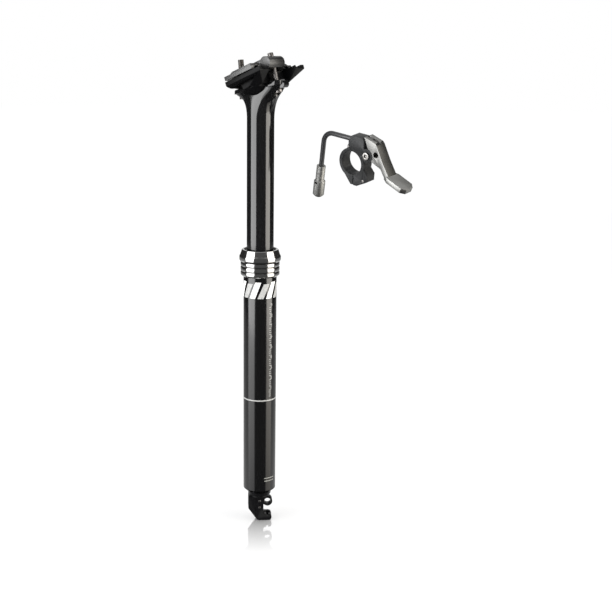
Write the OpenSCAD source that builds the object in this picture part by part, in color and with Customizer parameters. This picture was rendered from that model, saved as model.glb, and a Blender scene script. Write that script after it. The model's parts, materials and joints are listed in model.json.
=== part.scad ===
// Dropper seatpost with its handlebar remote, in millimetres and at real size.
// Z is up along the post, X points to the front of the bicycle and Y to its left.
// The origin is on the post's axis, at the minimum-insertion ring of the lower tube.

/* [Lower tube] */
// outside diameter that goes into the frame
tube_d = 30.9; // [27.2:0.1:34.9]
// wall of the lower tube
tube_wall = 1.6; // [1.2:0.1:2.4]
// length of the tube below the insertion ring
insert_min = 95; // [80:1:120]
// length of the tube from the insertion ring to the collar
tube_above = 118; // [90:1:160]
// height of the chamfer at the tube's lower end
foot_chamfer = 4; // [1:0.5:6]
// depth of the three keyways inside the tube
keyway_depth = 0.6; // [0.4:0.1:0.8]

/* [Collar] */
// how far the seal collar's head stands out of the tube
collar_over = 3.9; // [3.3:0.05:6]
// how far the collar's lower bands stand out of the tube
band_over = 2.7; // [1.8:0.05:3.2]
// height of the collar
collar_h = 25; // [20:1:40]
// height of the wide head of the collar
collar_head_h = 11; // [9:1:14]

/* [Stanchion] */
// how much smaller than the lower tube the sliding tube is
stanchion_step = 5.9; // [5:0.1:8]
// wall of the sliding tube
stanchion_wall = 1.75; // [1.5:0.05:3]
// drop of the saddle
travel = 120; // [60:5:150]
// length of sliding tube that stays in the lower tube when it is up
stanchion_overlap = 99; // [70:1:110]
// room left between the collar and the head when it is down
drop_room = 1.5; // [1:0.5:10]
// number of anti-rotation keys
key_count = 3; // [1:1:4]
// width of one key
key_w = 2.4; // [1.5:0.1:4]
// length of one key
key_l = 14; // [8:1:20]

/* [Head] */
// height of the flare from the round tube to the ears
flare_h = 27; // [18:1:40]
// reach of the ears in front of and behind the axis
ear_reach = 28; // [24:0.5:32]
// half width of the ears
ear_half_w = 10.5; // [8:0.5:14]
// slope of the ears, rear end up
ear_slope = 12; // [0:1:15]
// thickness of the ears above the flare
ear_t = 4; // [3:0.5:8]
// radius of the round seat under the cradle
seat_r = 16; // [12:0.5:20]
// nose-down angle of the clamp as photographed
clamp_tilt = 21; // [0:1:25]

/* [Saddle clamp] */
// diameter of the saddle rails
rail_d = 7; // [7:0.1:8]
// distance between the rails
rail_gap = 44; // [40:0.5:48]
// width of each rail jaw
jaw_w = 8.5; // [8:0.5:12]
// room of each jaw outside its rail, over the room inside
jaw_over = 3.5; // [0:0.5:5]
// length of the cradle along the rails
cradle_l = 44; // [36:1:50]
// length of the upper clamp's jaws
upper_l = 34; // [26:1:44]
// half the distance between the bolts, along the rails
bolt_offset = 19.7; // [17.5:0.1:22]
// place of the bolts' middle in front of the tilt axis
bolt_shift = 2.2; // [0:0.1:3]
// diameter of the clamp bolts
bolt_d = 5; // [4:0.5:6]
// diameter of the barrel nuts
nut_d = 9.9; // [8:0.1:12]
// length of the barrel nuts
nut_l = 15; // [12:1:18]
// reach of the front bolt above its nut
front_bolt_over = 16; // [4:0.5:20]
// reach of the rear bolt above its nut
rear_bolt_over = 9; // [4:0.5:20]

/* [Cartridge] */
// room between the sliding tube's bore and the gas cylinder
gas_room = 0.75; // [0.5:0.05:2]
// wall of the gas cylinder
gas_wall = 1.5; // [1:0.1:2.5]
// length of the gas cylinder
gas_l = 174; // [120:1:190]
// diameter of the piston rod
rod_d = 10; // [8:0.5:12]
// diameter of the valve pin inside the rod
valve_d = 4; // [3:0.5:5]

/* [Actuator] */
// direction of the cable hook, seen from above
actuator_yaw = 225; // [0:5:355]
// diameter of the neck under the tube
neck_d = 22; // [16:0.5:24]
// thickness of the bracket
bracket_t = 12; // [10:0.5:14]
// height of the bracket below the neck
bracket_h = 25; // [22:1:32]
// thickness of the lever
lever_t = 8; // [5:0.5:9]
// reach of the cable eye from the axis
eye_reach = 7.8; // [6:0.1:9]
// diameter of the hole in the cable eye
eye_hole_d = 6.4; // [5:0.1:7]
// diameter of the lever's pivot pin
pivot_d = 2.3; // [2:0.1:4]

/* [Remote] */
// handlebar diameter that the remote clamps on
bar_d = 22.2; // [22.2:0.1:31.8]
// wall of the bar clamp
clamp_wall = 3; // [2.5:0.1:5]
// width of the bar clamp along the bar
clamp_w = 12; // [10:0.5:16]
// width of the thumb pad along the bar
pad_w = 17; // [12:0.5:22]
// length of the thumb pad
pad_l = 23; // [14:0.5:28]
// diameter of the lever's pivot bolt
remote_pivot_d = 5; // [4:0.5:6]
// diameter of the bent cable guide
guide_d = 4.6; // [4:0.1:5]
// bend radius of the cable guide
guide_bend = 11; // [8:0.5:14]
// length of the guide's upright leg
guide_drop = 30.5; // [22:0.5:40]
// lean of the guide's leg away from the clamp
guide_lean = 6; // [0:1:12]
// diameter of the cable barrel's upper part
barrel_d = 8.4; // [7:0.1:9]
// diameter of the cable barrel's lower part
barrel_foot_d = 10.8; // [9:0.1:11]
// length of the cable barrel
barrel_l = 31; // [22:1:36]

/* [Hidden] */
$fn = 64;

// clearances: sliding fit, loose fit between bodies, fit of a turning pin
slide_gap = 0.05;
loose_gap = 0.3;
turn_gap = 0.04;
eps = 0.01;

// heights along the post
tube_bottom = -insert_min;
tube_r = tube_d / 2;
bore_r = tube_r - tube_wall;
spigot_r = tube_r - 0.4;
neck_r = neck_d / 2;
floor_t = foot_chamfer + 1;
collar_z = tube_above;
collar_top = collar_z + collar_h;
tube_top = collar_top - 9;
seal_h = 5;
seal_z = collar_top - 6.5;
scraper_h = 1.6;
bushing_top = tube_top;
bushing_l = 30;
plug_h = 10;
plug_top = tube_bottom + floor_t + plug_h;
neck_bottom = tube_bottom - 4;

// sliding tube and head
stanchion_r = tube_r - stanchion_step / 2;
stanchion_bore_r = stanchion_r - stanchion_wall;
stanchion_bottom = collar_top - stanchion_overlap;
flare_z = collar_top + travel + drop_room - 2.5;
ear_z = flare_z + flare_h;
head_top = ear_z + ear_t;
tilt_z = head_top + 7;
bore_top = flare_z - 12;
lower_bushing_l = 12;
key_z = stanchion_bottom + lower_bushing_l + 4;

// gas cartridge
gas_r = stanchion_bore_r - gas_room;
gas_bore_r = gas_r - gas_wall;
rod_r = rod_d / 2;
gland_z = stanchion_bottom + 5;
gland_h = 10;
piston_h = 8;
piston_z = gland_z + gland_h + 6;
cap_h = 8;
valve_r = valve_d / 2;
valve_top = 20;

// clamp frame: its origin is the tilt axis
rail_r = rail_d / 2;
rail_y = rail_gap / 2;
rail_z = 2;
split = 0.5;
jaw_in = rail_y - jaw_w / 2;
jaw_out = rail_y + jaw_w / 2 + jaw_over;
jaw_t = jaw_out - jaw_in;
cradle_rear = -cradle_l / 2 - 5.3;
cradle_front = cradle_l / 2 - 5.3;
front_x = bolt_shift + bolt_offset;
rear_x = bolt_shift - bolt_offset;
nut_r = nut_d / 2;
nut_z = 7;
boss_r = nut_r + 1.1;
boss_half = nut_l / 2 + 2.5;
bolt_r = bolt_d / 2;
washer_r = 2.9;
washer_flat = 1.2;
bolt_head_h = 3.8;
bolt_head_r = 3.7;
rear_boss_r = 3.3;
well_r = bolt_head_r + 0.8;
washer_half = well_r - 0.3;

// where each bolt's washer rocks in its ear, and where its nut is, as x and z on the post
front_seat = [front_x - 0.5, ear_z - 4.7];
rear_seat = [rear_x - 2.8, ear_z + 3];
function in_post(x, z) =
    [x * cos(clamp_tilt) + z * sin(clamp_tilt), tilt_z - x * sin(clamp_tilt) + z * cos(clamp_tilt)];
front_nut = in_post(front_x, nut_z);
rear_nut = in_post(rear_x, nut_z);
function lean(seat, nut) = atan2(nut[0] - seat[0], nut[1] - seat[1]);
function reach(seat, nut) = norm(nut - seat);

// actuator frame: x towards the cable hook, z up, y across the lever
pivot_z = neck_bottom - 5.4;
stop_z = pivot_z - 6.6;
foot_z = neck_bottom - bracket_h;
pin_r = pivot_d / 2;
hook_top = foot_z + 6.2;
hook_reach = eye_reach + 3.9;
eye_z = pivot_z - 0.9;
eye_r = eye_hole_d / 2 + 1.5;
lever_top = neck_bottom - 1.5;
slot_t = lever_t + 2 * loose_gap;

// remote: its origin is the handlebar's axis, x towards the rider
remote_at = [-66.5, -55.8, 225.3];
remote_nod = 13;
ring_r = bar_d / 2 + clamp_wall;
bar_r = bar_d / 2;
remote_pivot = [ring_r + 2.6, 10.2];
boss_pivot_r = 6.4;
band_pin = [13.4, -14.6];
band_pin_r = 1.4;
guide_z = 20.5;
guide_x = -4;
guide_run = 22.8;
guide_r = guide_d / 2;
bend_swell = 0.15;
cable_r = 1.2;
housing_r = 2.55;
housing_depth = 11;
lever_w = clamp_w - 5;
hub_r = 4.1;
bush_r = remote_pivot_d / 2 + 0.7;
pad_slope = 21;
pad_t = 4.6;
pad_at = [38.6, -7.4];
screw_r = 1.2;
screw_head_r = 2.2;
screw_z = 12.6;
// how far the cuts in the remote reach, and where the guide's and the band screw's holes end
body_reach = 40;
guide_end = 6;
screw_end = 8;
// the split between the body and the band: its knee, its top, and the foot of the band's tongue
mouth_knee = 5;
mouth_top = 14.8;
tongue_drop = 15.2;
screw_seat_x = -6.2;
barrel_screw_r = 1.3;

// helpers
module ring(z0, z1, r_out, r_in) {
    translate([0, 0, z0])
        difference() {
            cylinder(h = z1 - z0, r = r_out);
            translate([0, 0, -1])
                cylinder(h = z1 - z0 + 2, r = r_in);
        }
}

// an outline in x and z, extruded across from y0 to y1
module across(y0, y1) {
    translate([0, y1, 0])
        rotate([90, 0, 0])
            linear_extrude(height = y1 - y0)
                children();
}

// a round bar or hole across, at x and z
module cross_bar(x, z, r, y0, y1) {
    translate([x, y0, z])
        rotate([-90, 0, 0])
            cylinder(h = y1 - y0, r = r);
}

function arc(cx, cz, r, a0, a1, n) =
    [for (i = [0 : n]) [cx + r * cos(a0 + (a1 - a0) * i / n), cz + r * sin(a0 + (a1 - a0) * i / n)]];

module in_clamp() {
    translate([0, 0, tilt_z])
        rotate([0, clamp_tilt, 0])
            children();
}

module along_bolt(seat, nut) {
    translate([seat[0], 0, seat[1]])
        rotate([0, lean(seat, nut), 0])
            children();
}

module in_actuator() {
    rotate([0, 0, actuator_yaw])
        children();
}

module in_remote() {
    translate(remote_at)
        rotate(a = remote_nod, v = [-0.766, -0.643, 0])
            rotate([0, 0, 180])
                children();
}

// lower tube and its fittings
module lower_tube() {
    color("#1a1a1c")
        difference() {
            rotate_extrude()
                polygon([
                    [neck_r + slide_gap, tube_bottom], [tube_r, tube_bottom + foot_chamfer], [tube_r, collar_z],
                    [spigot_r, collar_z], [spigot_r, tube_top], [bore_r, tube_top], [bore_r, tube_bottom + floor_t], [neck_r + slide_gap, tube_bottom + floor_t]
                ]);
            for (i = [0 : key_count - 1])
                rotate([0, 0, 60 + 360 / key_count * i])
                    translate([bore_r - 1, -key_w / 2 - slide_gap, plug_top])
                        cube([1 + keyway_depth, key_w + 2 * slide_gap, tube_top - bushing_l - plug_top]);
        }
}

module seal_collar() {
    band_r = tube_r + band_over;
    head_r = tube_r + collar_over;
    head_z = collar_top - collar_head_h;
    low_z = collar_z + 0.35 * (head_z - collar_z);
    mid_z = collar_z + 0.68 * (head_z - collar_z);
    groove = 0.5;
    color("#c9cacc")
        rotate_extrude()
            polygon([
                [spigot_r, collar_z], [band_r - 1.5, collar_z], [band_r, collar_z + 1.5],
                [band_r, low_z - 0.5], [band_r - groove, low_z - 0.25], [band_r - groove, low_z + 0.25],
                [band_r, low_z + 0.5], [band_r, mid_z - 0.5], [band_r - groove, mid_z - 0.25],
                [band_r - groove, mid_z + 0.25], [band_r, mid_z + 0.5], [band_r, head_z - 1],
                [band_r - groove, head_z - 0.7], [band_r - groove, head_z], [head_r - 0.7, head_z],
                [head_r, head_z + 1.4], [head_r, head_z + 4.4], [head_r - 0.45, head_z + 5.6],
                [head_r - 0.75, head_z + 5.8], [head_r - 2.3, collar_top - 0.3], [head_r - 2.6, collar_top],
                [stanchion_r + 2.6, collar_top], [stanchion_r + 2.6, seal_z], [stanchion_r + loose_gap, seal_z],
                [stanchion_r + loose_gap, tube_top], [spigot_r, tube_top]
            ]);
}

module wiper_seal() {
    color("#151515")
        rotate_extrude()
            polygon([
                [stanchion_r + slide_gap, seal_z], [stanchion_r + 2.6, seal_z], [stanchion_r + 2.6, seal_z + seal_h],
                [stanchion_r + 1.4, seal_z + seal_h - 0.8], [stanchion_r + 0.7, seal_z + seal_h + 1],
                [stanchion_r + slide_gap, seal_z + seal_h + 1]
            ]);
}

module scraper_ring() {
    color("#3a3a3c")
        ring(collar_top - 1.1, collar_top - 0.5, stanchion_r + 2.6, stanchion_r + 1.8);
}

module upper_bushing() {
    color("#6b5b3d")
        ring(bushing_top - bushing_l, bushing_top, bore_r, stanchion_r + slide_gap);
}

module bottom_plug() {
    color("#2a2a2c")
        difference() {
            union() {
                ring(tube_bottom + floor_t, plug_top, bore_r, rod_r);
                rotate_extrude()
                    polygon([
                        [rod_r, neck_bottom], [neck_r - 2.2, neck_bottom], [neck_r, neck_bottom + 1.8],
                        [neck_r, tube_bottom + floor_t + eps], [rod_r, tube_bottom + floor_t + eps]
                    ]);
            }
            translate([0, 0, neck_bottom - 1])
                cylinder(h = 6, r = rod_r + 3);
        }
}

module piston_rod() {
    color("#d4d5d6")
        ring(neck_bottom + 1, piston_z + piston_h, rod_r, valve_r + slide_gap);
}

module rod_nut() {
    color("#b8b9bb")
        ring(neck_bottom + 1, neck_bottom + 4.6, rod_r + 3, rod_r);
}

module piston() {
    color("#a0a2a5")
        difference() {
            ring(piston_z, piston_z + piston_h, gas_bore_r - slide_gap, rod_r);
            ring(piston_z + 3, piston_z + 5, gas_bore_r + 1, gas_bore_r - 1.4);
        }
}

module piston_ring() {
    color("#111111")
        ring(piston_z + 3, piston_z + 5, gas_bore_r - slide_gap, gas_bore_r - 1.4);
}

// sliding tube, forged in one with the head
function flare(s) = 1 - sqrt(max(0, 1 - s * s));
head_sides = 64;
head_rings = 14;
head_r = stanchion_r - 0.03;
function head_ring(i) =
    let (s = min(1, i / head_rings))
    let (z = i <= head_rings ? flare_z + flare_h * sin(90 * s) : head_top)
    let (w = sin(90 * s))
    let (hx = head_r + (ear_reach - head_r) * flare(w))
    let (hy = head_r + (ear_half_w - head_r) * w * w)
    let (e = 2 / (2 + 1.4 * w * w))
    [for (k = [0 : head_sides - 1])
        let (a = 360 * k / head_sides)
        let (x = hx * sign(cos(a)) * pow(abs(cos(a)), e))
        [x, hy * sign(sin(a)) * pow(abs(sin(a)), e), z - x * tan(ear_slope) * w * w]];

module head_block() {
    rings = [for (i = [0 : head_rings + 1]) each head_ring(i)];
    last = head_rings + 1;
    low = len(rings);
    points = concat(rings, [[0, 0, flare_z], [0, 0, head_top]]);
    sides = [for (i = [0 : last - 1], k = [0 : head_sides - 1])
        let (a = i * head_sides + k, b = i * head_sides + (k + 1) % head_sides)
        each [[a, a + head_sides, b], [b, a + head_sides, b + head_sides]]];
    floor_fan = [for (k = [0 : head_sides - 1]) [low, k, (k + 1) % head_sides]];
    top_fan = [for (k = [0 : head_sides - 1])
        [low + 1, last * head_sides + (k + 1) % head_sides, last * head_sides + k]];
    polyhedron(points = points, faces = concat(sides, floor_fan, top_fan));
}

module bolt_seat(seat, nut) {
    along_bolt(seat, nut) {
        cross_bar(0, 0, washer_r + turn_gap, -well_r, well_r);
        translate([0, 0, -30])
            cylinder(h = 30, r = well_r);
        translate([0, 0, -1])
            cylinder(h = 30, r = bolt_r + 0.8);
    }
}

module stanchion_head() {
    color("#141416")
        difference() {
            union() {
                translate([0, 0, stanchion_bottom])
                    cylinder(h = flare_z - stanchion_bottom, r = stanchion_r);
                head_block();
                cross_bar(-ear_reach + 0.5, ear_z + 6, rear_boss_r, -3.5, 3.5);
            }
            translate([0, 0, stanchion_bottom - 1])
                cylinder(h = bore_top - stanchion_bottom + 1, r = stanchion_bore_r);
            cross_bar(0, tilt_z, seat_r, -40, 40);
            bolt_seat(front_seat, front_nut);
            bolt_seat(rear_seat, rear_nut);
            for (i = [0 : key_count - 1])
                rotate([0, 0, 60 + 360 / key_count * i])
                    translate([stanchion_r - 0.8, -key_w / 2, key_z])
                        cube([4, key_w, key_l]);
        }
}

module lower_bushing() {
    color("#6b5b3d")
        ring(stanchion_bottom, stanchion_bottom + lower_bushing_l, bore_r - slide_gap, stanchion_r);
}

module guide_keys() {
    color("#b08d3c")
        for (i = [0 : key_count - 1])
            rotate([0, 0, 60 + 360 / key_count * i])
                translate([stanchion_r - 0.8, -key_w / 2, key_z])
                    cube([bore_r + keyway_depth - slide_gap - stanchion_r + 0.7, key_w, key_l]);
}

// gas cartridge, carried by the sliding tube
module gas_cylinder() {
    color("#8e9094")
        ring(gland_z, gland_z + gas_l, gas_r, gas_bore_r);
}

module rod_gland() {
    color("#55575b")
        difference() {
            ring(gland_z, gland_z + gland_h, gas_bore_r, rod_r + slide_gap);
            ring(gland_z + 4, gland_z + 6.4, rod_r + 1.6, rod_r);
        }
}

module gland_seal() {
    color("#101010")
        ring(gland_z + 4, gland_z + 6.4, rod_r + 1.6, rod_r + slide_gap);
}

module cylinder_cap() {
    color("#55575b")
        translate([0, 0, gland_z + gas_l - cap_h])
            cylinder(h = cap_h, r = gas_bore_r);
}

module retaining_ring() {
    color("#7d7f83")
        ring(gland_z - 1.6, gland_z, stanchion_bore_r, gas_bore_r - 0.5);
}

module top_out_ring() {
    color("#181818")
        ring(gland_z + gland_h, gland_z + gland_h + 3, gas_bore_r - 0.5, rod_r + loose_gap);
}

// saddle clamp
module rail_grooves() {
    for (side = [-1, 1])
        translate([0, side * rail_y, rail_z])
            rotate([0, 90, 0])
                translate([0, 0, -60])
                    cylinder(h = 120, r = rail_r);
}

module cradle_web() {
    keel = -seat_r + 2;
    polygon(concat(
        [[cradle_rear, rail_z - split], [cradle_rear, -2], [-11.3, keel]],
        arc(-8.8, keel + 0.4, 2, 225, 270, 4),
        [[-5.3, keel - 1.6], [-4.6, -8.3], [5.5, -11.4], [8.7, -6.5]],
        arc(cradle_front - 3, -2.5, 3, -75, 0, 5),
        [[cradle_front, rail_z - split]]
    ));
}

module cradle_pocket() {
    polygon([[cradle_rear + 6, -3.2], [9.7, -4.6], [4.9, -10.4]]);
}

// what is cut from under an arm, so that it slopes up to the jaw
module arm_slope(side) {
    translate([cradle_rear - 5, 0, 0])
        rotate([90, 0, 90])
            linear_extrude(cradle_l + 10)
                polygon([
                    [side * (jaw_out + 1), -2.2], [side * jaw_out, -2.2], [side * 10.5, -seat_r],
                    [side * 10.5, -seat_r - 20], [side * (jaw_out + 1), -seat_r - 20]
                ]);
}
module lower_cradle() {
    pocket_t = jaw_t - 2.5;
    color("#1c1c1e")
        in_clamp()
            difference() {
                union() {
                    for (y = [-jaw_out, jaw_in])
                        across(y, y + jaw_t)
                            cradle_web();
                    intersection() {
                        cross_bar(0, 0, seat_r - 0.1, -jaw_in - 1, jaw_in + 1);
                        translate([-11, -jaw_in - 1, -seat_r])
                            cube([22, 2 * jaw_in + 2, seat_r + rail_z - split]);
                    }
                }
                rail_grooves();
                for (side = [-1, 1])
                    translate([0, side * (jaw_out - pocket_t / 2), 0])
                        across(-pocket_t / 2 - (side < 0 ? eps : 0), pocket_t / 2 + (side > 0 ? eps : 0))
                            cradle_pocket();
                for (side = [-1, 1])
                    arm_slope(side);
                translate([-7, -jaw_in + 5, -6])
                    cube([14, 2 * jaw_in - 10, 20]);
            }
}

module upper_clamp() {
    jaw_top = rail_z + 4;
    plate_z = 5.2;
    plate_top = 9.5;
    upper_rear = -upper_l / 2 - 1;
    color("#b5b7ba")
        in_clamp()
            difference() {
                union() {
                    for (side = [-1, 1]) {
                        translate([upper_rear, side > 0 ? jaw_in : -jaw_out, rail_z + split])
                            cube([upper_l, jaw_t, jaw_top - rail_z - split]);
                        translate([upper_rear, side * rail_y, rail_z])
                            rotate([0, 90, 0])
                                difference() {
                                    cylinder(h = upper_l, r = rail_r + 2);
                                    translate([-split, -20, -1])
                                        cube([40, 40, upper_l + 2]);
                                }
                        x = side > 0 ? front_x : rear_x;
                        cross_bar(x, nut_z, boss_r, -boss_half, boss_half);
                        translate([side > 0 ? 4 : x, -boss_half, nut_z - 3])
                            cube([abs(x) - 4, 2 * boss_half, 3 + boss_r - 1.4]);
                    }
                    translate([-11, -rail_y, plate_z])
                        cube([22, rail_gap, plate_top - plate_z]);
                }
                rail_grooves();
                for (x = [rear_x, front_x])
                    nut_way(x);
                bolt_slot(front_x, lean(front_seat, front_nut) - clamp_tilt);
                bolt_slot(rear_x, lean(rear_seat, rear_nut) - clamp_tilt);
            }
}

// the bore of a barrel nut, and the jaw's end cut off where the nut goes in past it
module nut_way(x) {
    bore_r = nut_r + turn_gap;
    cross_bar(x, nut_z, bore_r, -jaw_out - 1, nut_l / 2 + loose_gap);
    translate([x < 0 ? x - upper_l : x, -jaw_out - 1, nut_z - bore_r])
        cube([upper_l, jaw_t + 1 + loose_gap, 2 * bore_r]);
}

module bolt_slot(x, angle) {
    translate([x, 0, nut_z])
        rotate([0, angle, 0])
            translate([0, 0, -20])
                cylinder(h = 40, r = bolt_r + 1.4);
}

module clamp_bolt(seat, nut, over) {
    color("#9a9c9f")
        along_bolt(seat, nut)
            difference() {
                union() {
                    translate([0, 0, -washer_flat - bolt_head_h])
                        cylinder(h = bolt_head_h, r = bolt_head_r);
                    translate([0, 0, -washer_flat])
                        cylinder(h = washer_flat + reach(seat, nut) + over, r = bolt_r);
                }
                translate([0, 0, -washer_flat - bolt_head_h - 1])
                    cylinder(h = 3.4, r = 2.3, $fn = 6);
            }
}

module front_bolt() {
    clamp_bolt(front_seat, front_nut, front_bolt_over);
}

module rear_bolt() {
    clamp_bolt(rear_seat, rear_nut, rear_bolt_over);
}

module bolt_washer(seat, nut) {
    color("#77797c")
        along_bolt(seat, nut)
            difference() {
                cross_bar(0, 0, washer_r, -washer_half, washer_half);
                translate([-20, -20, -20 - washer_flat])
                    cube([40, 40, 20]);
                translate([0, 0, -20])
                    cylinder(h = 40, r = bolt_r);
            }
}

module front_washer() {
    bolt_washer(front_seat, front_nut);
}

module rear_washer() {
    bolt_washer(rear_seat, rear_nut);
}

module barrel_nut(seat, nut) {
    color("#5a5c60")
        difference() {
            cross_bar(nut[0], nut[1], nut_r, -nut_l / 2, nut_l / 2);
            along_bolt(seat, nut)
                cylinder(h = 80, r = bolt_r + 0.4);
        }
}

module front_barrel_nut() {
    barrel_nut(front_seat, front_nut);
}

module rear_barrel_nut() {
    barrel_nut(rear_seat, rear_nut);
}

// cable actuator under the post
module actuator_bracket() {
    half = bracket_t / 2;
    color("#1b1b1d")
        difference() {
            union() {
                in_actuator()
                    difference() {
                        across(-half, half)
                            polygon(concat(
                                [[-10.8, neck_bottom - 1], [-10.8, foot_z + 12.4], [-3, foot_z + 1.4], [-2, foot_z + 0.4], [-0.6, foot_z]],
                                arc(hook_reach - 2.8, foot_z + 2.8, 2.8, -90, 0, 4),
                                arc(hook_reach - 2.8, hook_top - 2.8, 2.8, 0, 90, 4),
                                [[5.2, hook_top + 0.1], [4.3, hook_top + 0.5], [3.8, hook_top + 1.5], [3.8, neck_bottom - 1]]
                            ));
                        across(-slot_t / 2, slot_t / 2)
                            polygon([
                                [-8, neck_bottom - 1.2], [-8, pivot_z - 4.2], [1.6, pivot_z - 4.6],
                                [1.6, pivot_z - 8.4], [20, pivot_z - 8.4], [20, neck_bottom - 1.2]
                            ]);
                        translate([eye_reach - 0.2, 0, foot_z + 2.4])
                            cylinder(h = 20, r = 3.4);
                        translate([eye_reach - 0.2, 0, foot_z - 1])
                            cylinder(h = 20, r = 1.4);
                        translate([eye_reach - 0.2, -1, foot_z - 1])
                            cube([20, 2, 20]);
                        translate([eye_reach - 1.2, -half - 1, hook_top - 1.6])
                            cube([2, half + 1, 20]);
                        for (z = [pivot_z, stop_z])
                            cross_bar(0, z, pin_r, -20, 20);
                    }
                translate([0, 0, neck_bottom - 1.2])
                    cylinder(h = 1.2, r = neck_r - 2.4);
            }
            in_actuator()
                translate([-4.6, -slot_t / 2, neck_bottom - 2])
                    cube([8, slot_t, 4]);
        }
}

module lever_pivot_pin() {
    color("#a9abae")
        in_actuator()
            cross_bar(0, pivot_z, pin_r, -bracket_t / 2 - 0.3, bracket_t / 2 + 0.3);
}

module stop_pin() {
    color("#a9abae")
        in_actuator()
            cross_bar(0, stop_z, pin_r, -bracket_t / 2 - 0.3, bracket_t / 2 + 0.3);
}

module actuator_lever() {
    color("#202022")
        in_actuator()
            difference() {
                across(-lever_t / 2, lever_t / 2)
                    polygon(concat(
                        [[-4, pivot_z - 1], [-4, lever_top], [2.6, lever_top]],
                        arc(eye_reach, eye_z, eye_r, 110, -110, 16),
                        arc(0, pivot_z, 3.2, -60, -160, 8)
                    ));
                cross_bar(eye_reach, eye_z, eye_hole_d / 2, -20, 20);
                cross_bar(0, pivot_z, pin_r + turn_gap, -20, 20);
            }
}

module valve_pin() {
    color("#c0c1c3")
        translate([0, 0, lever_top + loose_gap])
            cylinder(h = valve_top - lever_top - loose_gap, r = valve_r);
}

// handlebar remote
module disc(at, r) {
    translate(at)
        circle(r = r);
}

module body_block() {
    half = clamp_w / 2;
    cross_bar(0, 0, ring_r, -half, half);
    cross_bar(remote_pivot[0], remote_pivot[1], boss_pivot_r, -half, half);
    across(-half, half)
        polygon([[-4, 9], [-4, 20], [-1, 25.6], [11.6, 25.6], [13.2, 24], [13.2, 9], [9, 4]]);
    across(-half, half)
        polygon([[4, -8], [12, -2], [17.8, -8.5], [17.4, -15.2], [6.5, -20.8], [2, -20.8]]);
}

module band_outline() {
    difference() {
        intersection() {
            union() {
                circle(r = ring_r);
                polygon([[-10, -9], [1.7, -9], [1.7, -20.4], [-0.6, -20.4]]);
            }
            polygon([[-40, -40], [1.7, -40], [1.7, -5], [-2.6, 5], [-2.6, 14.4], [-40, 14.4]]);
        }
        circle(r = bar_r);
    }
}

module band_tongue(gap) {
    hull() {
        disc(band_pin, 2.6 + gap);
        translate([0.6, -tongue_drop])
            circle(r = 1.8 + gap);
    }
}

module remote_body() {
    half = clamp_w / 2;
    slot = lever_w / 2 + loose_gap;
    tongue = 2 + loose_gap;
    color("#3a3b3e")
        in_remote()
            difference() {
                body_block();
                cross_bar(0, 0, bar_r, -20, 20);
                across(-20, 20)
                    polygon([
                        [-body_reach, -body_reach], [2.3, -body_reach], [2.3, -mouth_knee], [-2, mouth_knee],
                        [-2, mouth_top], [-body_reach, mouth_top]
                    ]);
                across(-slot, slot) {
                    disc(remote_pivot, hub_r + loose_gap);
                    polygon([
                        remote_pivot + [0, -hub_r - loose_gap], remote_pivot + [20, -25],
                        remote_pivot + [20, 20], remote_pivot + [0, hub_r + loose_gap]
                    ]);
                }
                across(-tongue, tongue)
                    band_tongue(loose_gap);
                cross_bar(remote_pivot[0], remote_pivot[1], remote_pivot_d / 2, -20, 20);
                cross_bar(band_pin[0], band_pin[1], band_pin_r, -20, 20);
                translate([guide_end - body_reach, 0, guide_z])
                    rotate([0, 90, 0])
                        cylinder(h = body_reach, r = guide_r);
                translate([0, 0, guide_z])
                    rotate([0, 90, 0])
                        cylinder(h = body_reach, r = cable_r);
                translate([screw_end - body_reach, 0, screw_z])
                    rotate([0, 90, 0])
                        cylinder(h = body_reach, r = screw_r);
            }
}

module clamp_band() {
    half = clamp_w / 2;
    color("#333437")
        in_remote()
            difference() {
                union() {
                    across(-half, half)
                        band_outline();
                    across(-2, 2)
                        band_tongue(0);
                }
                cross_bar(0, 0, bar_r, -20, 20);
                cross_bar(band_pin[0], band_pin[1], band_pin_r, -20, 20);
                translate([-20, 0, screw_z])
                    rotate([0, 90, 0])
                        cylinder(h = 28, r = screw_r);
                translate([-20, 0, screw_z])
                    rotate([0, 90, 0])
                        cylinder(h = 20 + screw_seat_x, r = screw_head_r + 0.1);
            }
}

module band_hinge_pin() {
    color("#c9cacc")
        in_remote()
            cross_bar(band_pin[0], band_pin[1], band_pin_r, -clamp_w / 2 - 0.2, clamp_w / 2 + 0.2);
}

module band_screw() {
    color("#8d8f92")
        in_remote()
            translate([screw_seat_x, 0, screw_z])
                rotate([0, 90, 0]) {
                    cylinder(h = 10.5, r = screw_r);
                    translate([0, 0, -2.2])
                        difference() {
                            cylinder(h = 2.2, r = screw_head_r);
                            translate([0, 0, -1])
                                cylinder(h = 2.2, r = 1.1, $fn = 6);
                        }
                }
}

module lever_arm() {
    half = clamp_w / 2;
    difference() {
        across(-half, half)
            polygon([
                [13.8, 27.4], [26, 23.9], [27.8, 22], [34.8, 8.4], [42.2, -3.8], [38.6, -7.4], [32.8, 1.6], [22.6, 6]
            ]);
        cross_bar(remote_pivot[0], remote_pivot[1], boss_pivot_r + loose_gap + 0.2, -20, 20);
    }
}

module pad_outline() {
    half = pad_w / 2;
    cut = 4;
    polygon([
        [-2, -clamp_w / 2 + 0.4], [3, -half], [pad_l - cut, -half], [pad_l, -half + cut],
        [pad_l, half - cut], [pad_l - cut, half], [3, half], [-2, clamp_w / 2 - 0.4]
    ]);
}

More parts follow.
